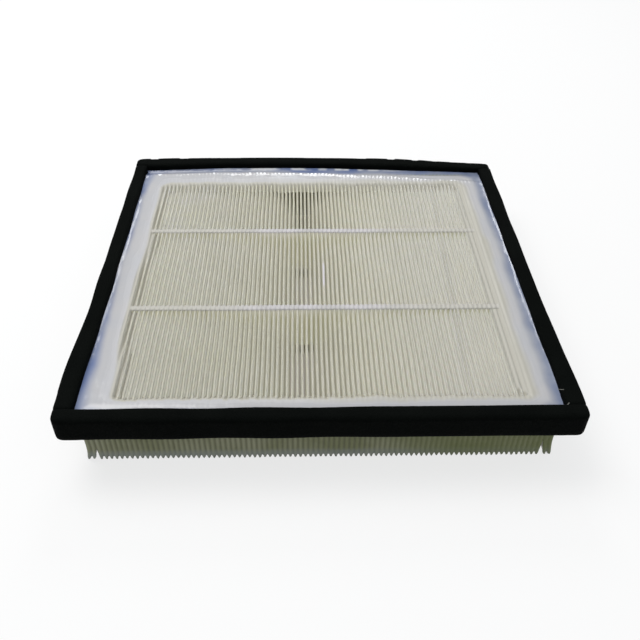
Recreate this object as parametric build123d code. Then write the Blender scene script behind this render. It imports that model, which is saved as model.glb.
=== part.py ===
from build123d import *
from math import cos, radians, sin
import os

# Pleated filter panel with a foam gasket, in millimetres. The origin is at the
# bottom centre, +Z is up (the face with the gasket), -Y is the front.

# Gasket: four butted foam strips
panel_width = 350.0
panel_depth = 343.0
gasket_width = 10.5
gasket_height = 20.0
gasket_corner_radius = 4.0
gasket_lower_round = 2.5
gasket_upper_bevel = 0.7
# The soft rear strip bulges outward in its middle and lies askew.
rear_bow = 6.5
rear_skew = 6.0
# The foam thins toward the front left corner, over the last stretch of its strip.
corner_draw_in = 2.2
draw_in_length = 42.0

# Media: one sheet folded to and fro, with its folds along Y
pleat_pitch = 3.6
pleat_depth = 48.5
sheet_thickness = 0.45
fold_radius = 0.85
# The outermost pleat on each side leans outward at its foot.
splay_offset = 1.4
splay_height = 13.0

# Spacer beads: hot melt in every pleat gap, with a cord over the folds
bead_width = 4.0
bead_rise = 0.8
bead_from_front = 106.8
bead_spacing = 105.0
bead_gap = 0.05

# End seals: thin ribbed films over the open pleat ends, split by a wedge
# beside the outermost pleat on each side
seal_thickness = 1.2
rib_depth = 0.5
fold_show = 2.5
split_width = 3.0
left_split_height = 12.0
right_split_height = 16.0

# Border: hot melt poured between gasket and pack, with a lip over the folds
border_skin = 0.8
border_recess = 5.5
skirt_lift = 3.0
end_skirt = 1.0
least_side_skirt = 1.0
lip_left = 23.0
lip_right = 20.5
lip_front = 13.0
lip_rear = 21.5
lip_corner_radius = 6.0
joint_gap = 0.05

# Places that follow from the dimensions
front_y = -panel_depth / 2
rear_corner_y = panel_depth / 2 - rear_bow
rear_left_y = rear_corner_y + rear_skew / 2
rear_right_y = rear_corner_y - rear_skew / 2
left_x = -panel_width / 2
right_x = panel_width / 2
inner_left_x = left_x + gasket_width
inner_right_x = right_x - gasket_width
inner_front_y = front_y + gasket_width
inner_rear_y = rear_right_y - gasket_width
pack_front_y = inner_front_y + end_skirt + seal_thickness
pack_rear_y = inner_rear_y - end_skirt - seal_thickness
pack_length = pack_rear_y - pack_front_y
leg_inset = fold_radius - sheet_thickness / 2
room_for_pack = inner_right_x - inner_left_x - 2 * least_side_skirt
pleat_count = int((room_for_pack + 2 * leg_inset) / pleat_pitch)
pack_left_x = -pleat_count * pleat_pitch / 2
pack_half_width = -pack_left_x - leg_inset
window_left_x = inner_left_x + lip_left
window_right_x = inner_right_x - lip_right
window_front_y = inner_front_y + lip_front
window_rear_y = inner_rear_y - lip_rear
fold_bottom_z = bead_rise
fold_top_z = fold_bottom_z + pleat_depth
border_top_z = fold_top_z + border_skin
gasket_top_z = border_top_z + border_recess
gasket_bottom_z = gasket_top_z - gasket_height
# A crease is pressed to three flats outside and two inside, round its centre.
outer_crease_angles = (180.0, 120.0, 60.0, 0.0)
inner_crease_angles = (180.0, 90.0, 0.0)
crease_rise = (fold_radius + sheet_thickness / 2) * sin(radians(outer_crease_angles[1]))
upper_centre_z = fold_top_z - crease_rise
lower_centre_z = fold_bottom_z + crease_rise
splay_z = fold_bottom_z + splay_height


def extrude_along_y(points, start_y, length):
    """Extrude a closed outline of (x, z) points backward from start_y."""
    outline = Polyline([(x, start_y, z) for x, z in points], close=True)
    return extrude(make_face(outline), amount=length, dir=(0, 1, 0))


def block(x_range, y_range, z_range):
    """Box between two values on each axis."""
    corners = list(zip(x_range, y_range, z_range))
    sizes = [high - low for low, high in zip(*corners)]
    middle = [(high + low) / 2 for low, high in zip(*corners)]
    return Pos(*middle) * Box(*sizes)


def gasket_outline(inset, radius, draw_in=0.0):
    """Plan face of the gasket, set in from its outer edge by inset."""
    left = left_x + inset
    right = right_x - inset
    front = front_y + inset
    rear_left = (left, rear_left_y - inset)
    rear_right = (right, rear_right_y - inset)
    drawn_in = (left, front_y + draw_in_length)
    front_left = (left + draw_in, front)
    sides = Polyline(rear_left, drawn_in, front_left, (right, front), rear_right)
    bow = ThreePointArc(rear_right, (0, panel_depth / 2 - inset), rear_left)
    face = make_face([*sides.edges(), bow])
    kink = Vector(*drawn_in)
    corners = [v for v in face.vertices() if (Vector(*v) - kink).length > radius]
    return fillet(corners, radius)


def make_gasket_strips():
    """Foam gasket: front and rear strips run through, side strips butt between."""
    outer = gasket_outline(0, gasket_corner_radius, corner_draw_in)
    inner = gasket_outline(gasket_width, 1.0)
    ring = Pos(0, 0, gasket_bottom_z) * extrude(outer - inner, amount=gasket_height)
    ring = fillet(ring.faces().sort_by(Axis.Z)[0].outer_wire().edges(), gasket_lower_round)
    ring = chamfer(ring.faces().sort_by(Axis.Z)[-1].outer_wire().edges(), gasket_upper_bevel)
    tall = (gasket_bottom_z, gasket_top_z)
    front_block = block((left_x, right_x), (front_y, inner_front_y), tall)
    rear_cut = Polyline(
        (left_x, rear_left_y - gasket_width, gasket_bottom_z),
        (right_x, rear_right_y - gasket_width, gasket_bottom_z),
        (right_x, panel_depth, gasket_bottom_z),
        (left_x, panel_depth, gasket_bottom_z),
        close=True,
    )
    rear_wedge = extrude(make_face(rear_cut), amount=gasket_height, dir=(0, 0, 1))
    sides = (ring - front_block - rear_wedge).solids().sort_by(Axis.X)
    return {
        "gasket_front": ring & front_block,
        "gasket_rear": ring & rear_wedge,
        "gasket_left": sides[0],
        "gasket_right": sides[-1],
    }


def lower_fold_x(index):
    """Centre of a lower fold, with the outermost two leaning outward."""
    middle = pack_left_x + (index + 0.5) * pleat_pitch
    if index == 0:
        return middle - splay_offset
    if index == pleat_count - 1:
        return middle + splay_offset
    return middle


def crease(x, z, side, up):
    """Points over one fold on one side of the sheet, from left to right."""
    outward = 1 if up else -1
    radius = fold_radius + outward * side * sheet_thickness / 2
    angles = outer_crease_angles if side == outward else inner_crease_angles
    return [(x + radius * cos(radians(a)), z + outward * radius * sin(radians(a))) for a in angles]


def leg_bend(index, leg, side):
    """Point where a leg of an outermost pleat starts to lean outward."""
    upper = pack_left_x + (index + leg) * pleat_pitch
    lower = pack_left_x + (index + 0.5) * pleat_pitch
    inward = 1 - 2 * leg
    from_x = upper + inward * fold_radius
    to_x = lower - inward * fold_radius
    share = (upper_centre_z - splay_z) / (upper_centre_z - lower_centre_z)
    return (from_x + share * (to_x - from_x) + inward * side * sheet_thickness / 2, splay_z)


def sheet_side(side):
    """Points along one side of the sheet, 1 for the upper and -1 for the lower."""
    half = side * sheet_thickness / 2
    last_upper_x = pack_left_x + pleat_count * pleat_pitch
    points = [(pack_left_x + fold_radius + half, fold_top_z)]
    for index in range(pleat_count):
        leans = index in (0, pleat_count - 1)
        if leans:
            points.append(leg_bend(index, 0, side))
        points += crease(lower_fold_x(index), lower_centre_z, side, False)
        if leans:
            points.append(leg_bend(index, 1, side))
        if index < pleat_count - 1:
            upper_x = pack_left_x + (index + 1) * pleat_pitch
            points += crease(upper_x, upper_centre_z, side, True)
    points.append((last_upper_x - fold_radius - half, fold_top_z))
    return points


def make_media():
    """The folded sheet, one solid."""
    outline = sheet_side(1) + sheet_side(-1)[::-1]
    return extrude_along_y(outline, pack_front_y, pack_length)


def bead_comb(start_y, tooth_places, cord_ends, fold_z, tip_z):
    """Comb of hot melt: a tooth in each pleat gap and a cord over the folds."""
    root = pleat_pitch / 2 - fold_radius - sheet_thickness / 2 - bead_gap
    tip = fold_radius - sheet_thickness / 2 - bead_gap
    outward = 1 if fold_z > tip_z else -1
    notch_z = fold_z + outward * bead_gap
    cord_z = fold_z + outward * bead_rise
    points = [(cord_ends[0], cord_z), (cord_ends[0], notch_z)]
    for x in tooth_places:
        points += [(x - root, notch_z), (x - tip, tip_z), (x + tip, tip_z), (x + root, notch_z)]
    points += [(cord_ends[1], notch_z), (cord_ends[1], cord_z)]
    return extrude_along_y(points, start_y, bead_width)


def make_upper_bead(start_y):
    """Bead in the gaps open at the top, from one side of the border to the other."""
    cord_ends = (window_left_x + joint_gap, window_right_x - joint_gap)
    middles = [pack_left_x + (index + 0.5) * pleat_pitch for index in range(pleat_count)]
    inside = (cord_ends[0] + pleat_pitch / 2, cord_ends[1] - pleat_pitch / 2)
    places = [x for x in middles if inside[0] < x < inside[1]]
    return bead_comb(start_y, places, cord_ends, fold_top_z, lower_centre_z)


def make_lower_bead(start_y):
    """Bead in the gaps open at the bottom, from the first fold to the last."""
    places = [pack_left_x + index * pleat_pitch for index in range(1, pleat_count)]
    cord_ends = (places[0] - pleat_pitch / 2, places[-1] + pleat_pitch / 2)
    return bead_comb(start_y, places, cord_ends, fold_bottom_z, upper_centre_z)


def make_beads():
    """Two rows of beads over the folds and two rows under them."""
    rows = {"front": bead_from_front, "rear": bead_from_front + bead_spacing}
    beads = {}
    for place, offset in rows.items():
        start_y = pack_front_y + offset - bead_width / 2
        beads["upper_bead_" + place] = make_upper_bead(start_y)
        beads["lower_bead_" + place] = make_lower_bead(start_y)
    return beads


def make_end_seal(pack_end_y, outward):
    """Ribbed film over the open pleat ends, one rib to a pleat."""
    inner_y = pack_end_y
    groove_y = inner_y + outward * (seal_thickness - rib_depth)
    crest_y = inner_y + outward * seal_thickness
    points = [(-pack_half_width, inner_y), (-pack_half_width, groove_y)]
    for index in range(pleat_count):
        groove_x = pack_left_x + index * pleat_pitch
        if index:
            points.append((groove_x, groove_y))
        points.append((groove_x + pleat_pitch / 2, crest_y))
    points += [(pack_half_width, groove_y), (pack_half_width, inner_y)]
    foot_z = fold_bottom_z + fold_show
    plan = make_face(Polyline(points, close=True))
    film = Pos(0, 0, foot_z) * extrude(plan, amount=fold_top_z - foot_z, dir=(0, 0, 1))
    for side, height in ((-1, left_split_height), (1, right_split_height)):
        x = side * (-pack_left_x - pleat_pitch)
        base_z = fold_bottom_z
        wedge = [(x - split_width / 2, base_z), (x + split_width / 2, base_z), (x, base_z + height)]
        film -= extrude_along_y(wedge, min(inner_y, crest_y), seal_thickness)
    return film


def make_border():
    """Poured border: a skirt round the pack and a lip over its folds."""
    skirt_z = gasket_bottom_z + skirt_lift
    poured = gasket_outline(gasket_width + joint_gap, 1.0)
    border = Pos(0, 0, skirt_z) * extrude(poured, amount=border_top_z - skirt_z)
    pocket_x = pack_half_width + joint_gap
    pocket_y = (pack_front_y - seal_thickness - joint_gap, pack_rear_y + seal_thickness + joint_gap)
    border -= block((-pocket_x, pocket_x), pocket_y, (skirt_z, fold_top_z + joint_gap))
    window_x = (window_left_x, window_right_x)
    window_y = (window_front_y, window_rear_y)
    window = block(window_x, window_y, (skirt_z, border_top_z))
    return border - fillet(window.edges().filter_by(Axis.Z), lip_corner_radius)


def make_parts():
    """All the pieces by name."""
    parts = {"pleated_media": make_media()}
    parts.update(make_beads())
    parts["end_seal_front"] = make_end_seal(pack_front_y, -1)
    parts["end_seal_rear"] = make_end_seal(pack_rear_y, 1)
    parts["hot_melt_border"] = make_border()
    parts.update(make_gasket_strips())
    return parts


os.makedirs("parts", exist_ok=True)
for name, shape in make_parts().items():
    export_step(shape, os.path.join("parts", name + ".step"))
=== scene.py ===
"""Looks of a pleated filter panel with a foam gasket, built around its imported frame.

Pieces have their sizes in millimetres, which turn into metres when a mesh is finished.
Finishes have their places in metres, as the shader reads them.
"""

import logging
import math
import random
from dataclasses import dataclass, field
from enum import Enum
from typing import Callable, NamedTuple

import bmesh
import bpy
from mathutils import Matrix, Vector

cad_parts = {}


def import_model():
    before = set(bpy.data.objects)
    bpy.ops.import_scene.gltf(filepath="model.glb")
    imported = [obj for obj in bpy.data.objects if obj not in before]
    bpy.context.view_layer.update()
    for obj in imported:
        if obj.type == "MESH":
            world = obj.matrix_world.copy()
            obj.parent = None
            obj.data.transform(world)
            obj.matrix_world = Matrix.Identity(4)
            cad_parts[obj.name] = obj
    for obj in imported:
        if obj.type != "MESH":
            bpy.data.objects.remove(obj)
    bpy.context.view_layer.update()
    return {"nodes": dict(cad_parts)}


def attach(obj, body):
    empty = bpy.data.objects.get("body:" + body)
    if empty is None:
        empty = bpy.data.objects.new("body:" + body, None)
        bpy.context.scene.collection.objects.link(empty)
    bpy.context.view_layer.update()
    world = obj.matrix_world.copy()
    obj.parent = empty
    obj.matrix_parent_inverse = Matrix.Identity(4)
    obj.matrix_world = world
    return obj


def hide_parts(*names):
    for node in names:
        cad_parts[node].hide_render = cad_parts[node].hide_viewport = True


LOG = logging.getLogger("filter_panel")
MM = 0.001

# A linear colour with its alpha, and two values that belong together, such as the ends of a fade
Colour = tuple[float, float, float, float]
Pair = tuple[float, float]
BLACK: Colour = (0.0, 0.0, 0.0, 1.0)
WHITE: Colour = (1.0, 1.0, 1.0, 1.0)

# The pale stripe where folds have merged: its X at the middle and its lean along Y
STRIPE_X = 108.8
STRIPE_LEAN = 0.0425

# The pocket in the border round the pack: its depth past the pack's ends and the step of its wall
POCKET_DEPTH = 1.25
WALL_STEP = 0.04


class Side(Enum):
    """Which face of the pack a bead lies on; the value is its outward Z sign."""

    UPPER = 1
    LOWER = -1


class End(Enum):
    """Which end of the pack a film closes; the value is its outward Y sign."""

    FRONT = -1
    REAR = 1


@dataclass(frozen=True)
class PanelSizes:
    """The panel's leading sizes in millimetres, as its CAD source has them."""

    left_x: float = -175.0
    right_x: float = 175.0
    front_y: float = -171.5
    crown_y: float = 171.5
    rear_left_y: float = 168.0
    rear_right_y: float = 162.0
    gasket_width: float = 10.5
    pitch: float = 3.6
    pleat_count: int = 91
    pack_left_x: float = -163.8
    pack_half_width: float = 163.175
    pack_front_y: float = -158.8
    pack_rear_y: float = 149.3
    fold_bottom_z: float = 0.8
    fold_top_z: float = 49.3
    fold_radius: float = 0.85
    sheet: float = 0.45
    border_top_z: float = 50.1
    skirt_z: float = 38.6
    window_left_x: float = -141.5
    window_right_x: float = 144.0
    window_front_y: float = -148.0
    window_rear_y: float = 130.0
    bead_rows: tuple[float, float] = (-52.0, 53.0)

    @property
    def inner_left_x(self) -> float:
        """Inner wall of the left gasket strip."""
        return self.left_x + self.gasket_width

    @property
    def inner_right_x(self) -> float:
        """Inner wall of the right gasket strip."""
        return self.right_x - self.gasket_width

    @property
    def inner_front_y(self) -> float:
        """Inner wall of the front gasket strip."""
        return self.front_y + self.gasket_width

    def inner_rear_y(self, x: float) -> float:
        """Inner wall of the bowed rear strip.

        Args:
            x: Place across the panel.

        Returns:
            The wall's Y at that place, on a parabola through ends and crown.
        """
        left = self.rear_left_y - self.gasket_width
        right = self.rear_right_y - self.gasket_width
        crown = self.crown_y - self.gasket_width
        share = x / self.inner_right_x
        chord = left + (right - left) * (share + 1) / 2
        return chord + (crown - (left + right) / 2) * (1 - share * share)

    def crest(self, x: float) -> float:
        """Nearness to an upper fold: 1 over its middle and 0 over a gap's middle."""
        return 0.5 + 0.5 * math.cos(math.tau * (x - self.pack_left_x) / self.pitch)


class Ripple:
    """Smooth seeded wander in the plane, made of a few sines."""

    def __init__(
        self, seed: int, shortest: float, longest: float, height: float, waves: int = 6
    ) -> None:
        """Draws the waves.

        Args:
            seed: Seed of the draw.
            shortest: Shortest wave length.
            longest: Longest wave length.
            height: Rough height of the wander to either side.
            waves: How many sines are added.
        """
        draw = random.Random(seed)
        self.waves: list[tuple[float, float, float, float]] = []
        for _ in range(waves):
            turn = draw.uniform(0, math.tau)
            rate = math.tau / draw.uniform(shortest, longest)
            weight = height * draw.uniform(0.5, 1.0) / math.sqrt(waves)
            phase = draw.uniform(0, math.tau)
            self.waves.append((rate * math.cos(turn), rate * math.sin(turn), phase, weight))

    def at(self, x: float, y: float = 0.0) -> float:
        """Wander at a place, above or below 0."""
        return sum(w * math.sin(a * x + b * y + p) for a, b, p, w in self.waves)


def smooth(low: float, high: float, value: float) -> float:
    """Smooth step from 0 at low to 1 at high."""
    share = min(1.0, max(0.0, (value - low) / (high - low)))
    return share * share * (3 - 2 * share)


def bump(centre: float, width: float, value: float) -> float:
    """Bell of height 1 about a centre."""
    return math.exp(-(((value - centre) / width) ** 2))


def srgb(red: int, green: int, blue: int) -> Colour:
    """Linear colour of an 8-bit sRGB one.

    Args:
        red: Red from 0 to 255.
        green: Green from 0 to 255.
        blue: Blue from 0 to 255.

    Returns:
        The colour, opaque.
    """

    def linear(value: int) -> float:
        """Linear share of one 8-bit channel."""
        share = value / 255
        return share / 12.92 if share <= 0.04045 else ((share + 0.055) / 1.055) ** 2.4

    return (linear(red), linear(green), linear(blue), 1.0)


def finish_mesh(bm: bmesh.types.BMesh, name: str, smooth_angle: float = 60.0) -> bpy.types.Object:
    """Turns a bmesh in millimetres into an object in metres at the origin.

    Args:
        bm: The mesh, which is freed.
        name: Name of the piece.
        smooth_angle: Edges sharper than this stay sharp, in degrees.

    Returns:
        The new object, linked into the scene.
    """
    bmesh.ops.scale(bm, vec=(MM, MM, MM), verts=bm.verts)
    bmesh.ops.recalc_face_normals(bm, faces=bm.faces)
    mesh = bpy.data.meshes.new(name)
    bm.to_mesh(mesh)
    bm.free()
    mesh.shade_smooth()
    mesh.set_sharp_from_angle(angle=math.radians(smooth_angle))
    piece = bpy.data.objects.new(name, mesh)
    bpy.context.scene.collection.objects.link(piece)
    return piece


def sheet_grid(
    columns: int, rows: int, *layers: str
) -> tuple[bmesh.types.BMesh, list[list[bmesh.types.BMVert]]]:
    """A flat grid whose vertices are sorted into columns and rows.

    Args:
        columns: Number of vertices along X.
        rows: Number of vertices along Y.
        layers: Names of float layers on the vertices.

    Returns:
        The bmesh and its vertices as table[column][row].
    """
    bm = bmesh.new()
    for layer in layers:
        bm.verts.layers.float.new(layer)
    bmesh.ops.create_grid(bm, x_segments=columns - 1, y_segments=rows - 1, size=1.0)
    table: list[list[bmesh.types.BMVert]] = [[None] * rows for _ in range(columns)]
    for vert in bm.verts:
        column = round((vert.co.x + 1) / 2 * (columns - 1))
        row = round((vert.co.y + 1) / 2 * (rows - 1))
        table[column][row] = vert
    return bm, table


def thicken(piece: bpy.types.Object, name: str, thickness: float) -> None:
    """Gives a thin piece its thickness, half to each side.

    Args:
        piece: The piece.
        name: Name of the modifier.
        thickness: Thickness in millimetres.
    """
    solid = piece.modifiers.new(name, "SOLIDIFY")
    solid.thickness = thickness * MM
    solid.offset = 0.0


def dress(piece: bpy.types.Object, material: bpy.types.Material, slot: str, *nodes: str) -> None:
    """Gives a piece its material and body, and hides the nodes it stands for.

    Args:
        piece: The piece.
        material: Its finish.
        slot: Name of the record's material slot; not used.
        nodes: CAD nodes that the piece stands for.
    """
    piece.data.materials.clear()
    piece.data.materials.append(material)
    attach(piece, "root")
    if nodes:
        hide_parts(*nodes)
    LOG.info("%s: %d faces", piece.name, len(piece.data.polygons))


@dataclass(frozen=True)
class Place:
    """Object coordinates in metres of the panel's frame, whole and by axis."""

    whole: bpy.types.NodeSocket
    x: bpy.types.NodeSocket
    y: bpy.types.NodeSocket
    z: bpy.types.NodeSocket


class NodeKit:
    """Short ways to place and join nodes in one node tree."""

    def __init__(self, tree: bpy.types.NodeTree) -> None:
        """Keeps the tree to work in."""
        self.tree = tree

    def add(self, kind: str, **settings: object) -> bpy.types.Node:
        """Adds a node.

        Args:
            kind: Type of the node.
            settings: Its properties.

        Returns:
            The node.
        """
        node = self.tree.nodes.new(kind)
        for key, value in settings.items():
            setattr(node, key, value)
        return node

    def feed(self, socket: bpy.types.NodeSocket, value: object) -> None:
        """Gives an input its number or colour, or links an output to it.

        Args:
            socket: The input.
            value: Number, colour or output socket.
        """
        if isinstance(value, bpy.types.NodeSocket):
            self.tree.links.new(value, socket)
        else:
            socket.default_value = value

    def math(self, operation: str, *values: object) -> bpy.types.NodeSocket:
        """Adds a Math node.

        Args:
            operation: Name of the operation.
            values: A number or an output socket for each input.

        Returns:
            The node's output.
        """
        node = self.add("ShaderNodeMath", operation=operation)
        for socket, value in zip(node.inputs, values):
            self.feed(socket, value)
        return node.outputs[0]

    def times(self, first: object, *others: object) -> bpy.types.NodeSocket:
        """Multiplies values.

        Args:
            first: Number or output socket.
            others: More of them, one at least.

        Returns:
            The product.
        """
        product = first
        for value in others:
            product = self.math("MULTIPLY", product, value)
        return product

    def off(self, value: object, middle: object) -> bpy.types.NodeSocket:
        """Distance of a value from a middle."""
        return self.math("ABSOLUTE", self.math("SUBTRACT", value, middle))

    def attribute(self, name: str) -> bpy.types.NodeSocket:
        """Float attribute of the piece's vertices."""
        return self.add("ShaderNodeAttribute", attribute_name=name).outputs["Fac"]

    def place(self) -> Place:
        """Adds the object coordinates.

        Returns:
            The coordinates, whole and by axis.
        """
        whole = self.add("ShaderNodeTexCoord").outputs["Object"]
        split = self.add("ShaderNodeSeparateXYZ")
        self.feed(split.inputs[0], whole)
        return Place(whole, *split.outputs)

    def mix(self, factor: object, first: object, second: object) -> bpy.types.NodeSocket:
        """Mixes two colours.

        Args:
            factor: Number or output socket.
            first: Colour or output socket at factor 0.
            second: Colour or output socket at factor 1.

        Returns:
            The mixed colour.
        """
        node = self.add("ShaderNodeMix", data_type="RGBA")
        for index, value in ((0, factor), (6, first), (7, second)):
            self.feed(node.inputs[index], value)
        return node.outputs[2]

    def fade(self, value: object, low: float, high: float) -> bpy.types.NodeSocket:
        """Maps a value smoothly from low..high to 0..1.

        Args:
            value: Output socket.
            low: Value that gives 0.
            high: Value that gives 1, above or below the other.

        Returns:
            The mapped value.
        """
        node = self.add("ShaderNodeMapRange", interpolation_type="SMOOTHSTEP")
        self.feed(node.inputs["Value"], value)
        node.inputs["From Min"].default_value = low
        node.inputs["From Max"].default_value = high
        return node.outputs["Result"]

    def noise(self, vector: bpy.types.NodeSocket, scale: float, detail: float) -> bpy.types.NodeSocket:
        """Adds a noise texture.

        Args:
            vector: Coordinates.
            scale: Cells per metre.
            detail: Octaves.

        Returns:
            The noise value.
        """
        node = self.add("ShaderNodeTexNoise")
        self.feed(node.inputs["Vector"], vector)
        node.inputs["Scale"].default_value = scale
        node.inputs["Detail"].default_value = detail
        return node.outputs["Fac"]


class EffectGroups:
    """Shader node groups that several finishes share."""

    _made: dict[str, bpy.types.NodeTree] = {}

    @classmethod
    def build(cls, name: str, inputs: dict[str, float], fill: Callable) -> bpy.types.NodeTree:
        """Makes a group once.

        Args:
            name: Name of the group.
            inputs: Float inputs and their defaults, after Vector.

        Returns:
            The group.
        """
        if name in cls._made:
            return cls._made[name]
        group = bpy.data.node_groups.new(name, "ShaderNodeTree")
        group.interface.new_socket("Vector", in_out="INPUT", socket_type="NodeSocketVector")
        for key, value in inputs.items():
            socket = group.interface.new_socket(key, in_out="INPUT", socket_type="NodeSocketFloat")
            socket.default_value = value
        kit = NodeKit(group)
        source = kit.add("NodeGroupInput")
        made = fill(kit, source)
        for key in made:
            group.interface.new_socket(key, in_out="OUTPUT", socket_type="NodeSocketFloat")
        target = kit.add("NodeGroupOutput")
        for key, value in made.items():
            kit.feed(target.inputs[key], value)
        cls._made[name] = group
        return group

    @classmethod
    def mottle(cls) -> bpy.types.NodeTree:
        """Slow clouding with a finer grain over it.

        Returns:
            The group.
        """

        def fill(kit: NodeKit, source: bpy.types.Node) -> dict[str, bpy.types.NodeSocket]:
            """Adds the two noises.

            Args:
                kit: Node helper of the group.
                source: The group's input node.

            Returns:
                The outputs by name.
            """
            cloud = kit.add("ShaderNodeTexNoise")
            grain = kit.add("ShaderNodeTexNoise")
            for node, key, detail in ((cloud, "Cloud Scale", 3.0), (grain, "Grain Scale", 2.0)):
                kit.feed(node.inputs["Vector"], source.outputs["Vector"])
                kit.feed(node.inputs["Scale"], source.outputs[key])
                node.inputs["Detail"].default_value = detail
            return {
                "Cloud": kit.fade(cloud.outputs["Fac"], 0.35, 0.68),
                "Grain": kit.fade(grain.outputs["Fac"], 0.3, 0.7),
            }

        return cls.build("mottle", {"Cloud Scale": 20.0, "Grain Scale": 900.0}, fill)

    @classmethod
    def fibres(cls) -> bpy.types.NodeTree:
        """Short matted fibres, as in felted paper.

        Returns:
            The group.
        """

        def fill(kit: NodeKit, source: bpy.types.Node) -> dict[str, bpy.types.NodeSocket]:
            """Adds two stretched noises across each other.

            Args:
                kit: Node helper of the group.
                source: The group's input node.

            Returns:
                The outputs by name.
            """
            made = []
            for stretch in ((1.0, 0.16, 0.35), (0.3, 1.0, 0.22)):
                mapping = kit.add("ShaderNodeMapping")
                mapping.inputs["Scale"].default_value = stretch
                kit.feed(mapping.inputs["Vector"], source.outputs["Vector"])
                node = kit.add("ShaderNodeTexNoise")
                kit.feed(node.inputs["Vector"], mapping.outputs["Vector"])
                kit.feed(node.inputs["Scale"], source.outputs["Scale"])
                node.inputs["Detail"].default_value = 4.0
                made.append(node.outputs["Fac"])
            return {"Fibre": kit.math("MAXIMUM", made[0], made[1])}

        return cls.build("fibres", {"Scale": 1500.0}, fill)


class Finish:
    """Base of the finishes: builds a Principled material once by name."""

    name: str = "finish"

    def material(self) -> bpy.types.Material:
        """The finish's material, made at the first call.

        Returns:
            The material.
        """
        found = bpy.data.materials.get(self.name)
        if found is not None:
            return found
        made = bpy.data.materials.new(self.name)
        made.use_nodes = True
        self.fill(NodeKit(made.node_tree), made.node_tree.nodes["Principled BSDF"])
        return made

    def fill(self, kit: NodeKit, shader: bpy.types.Node) -> None:
        """Adds the finish's nodes; each finish has its own way."""
        raise NotImplementedError

    @staticmethod
    def group(
        kit: NodeKit, tree: bpy.types.NodeTree, vector: bpy.types.NodeSocket, **values: float
    ) -> bpy.types.Node:
        """Places a shared effect.

        Args:
            kit: Node helper of the material.
            tree: The group.
            vector: Coordinates.
            values: Inputs by name, with underscores for spaces.

        Returns:
            The group node.
        """
        node = kit.add("ShaderNodeGroup", node_tree=tree)
        kit.feed(node.inputs["Vector"], vector)
        for key, value in values.items():
            node.inputs[key.replace("_", " ")].default_value = value
        return node

    @staticmethod
    def glow(kit: NodeKit, shader: bpy.types.Node, level: bpy.types.NodeSocket, colour: object) -> None:
        """Adds a faint painted glow of the piece's own: in paper and beads it stands for light that has
        soaked through, on the melt for its glints.

        Args:
            kit: Node helper of the material.
            shader: The Principled node.
            level: Share of the colour, from 0 to 1.
            colour: Colour or output socket.
        """
        kit.feed(shader.inputs["Emission Color"], kit.mix(level, BLACK, colour))
        shader.inputs["Emission Strength"].default_value = 1.0

    @staticmethod
    def rough(
        kit: NodeKit, shader: bpy.types.Node, share: bpy.types.NodeSocket, low: float, high: float
    ) -> None:
        """Lets the roughness follow a share.

        Args:
            kit: Node helper of the material.
            shader: The Principled node.
            share: Share from 0 to 1.
            low: Roughness at share 0.
            high: Roughness at share 1.
        """
        kit.feed(shader.inputs["Roughness"], kit.math("MULTIPLY_ADD", share, high - low, low))

    @staticmethod
    def relief(
        kit: NodeKit, shader: bpy.types.Node, height: bpy.types.NodeSocket, distance: float, strength: float
    ) -> None:
        """Feeds a height into the shader's normal.

        Args:
            kit: Node helper of the material.
            shader: The Principled node.
            height: Height from 0 to 1.
            distance: Metres of relief at height 1.
            strength: Strength of the bump.
        """
        node = kit.add("ShaderNodeBump")
        node.inputs["Strength"].default_value = strength
        node.inputs["Distance"].default_value = distance
        kit.feed(node.inputs["Height"], height)
        kit.feed(shader.inputs["Normal"], node.outputs["Normal"])


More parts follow.
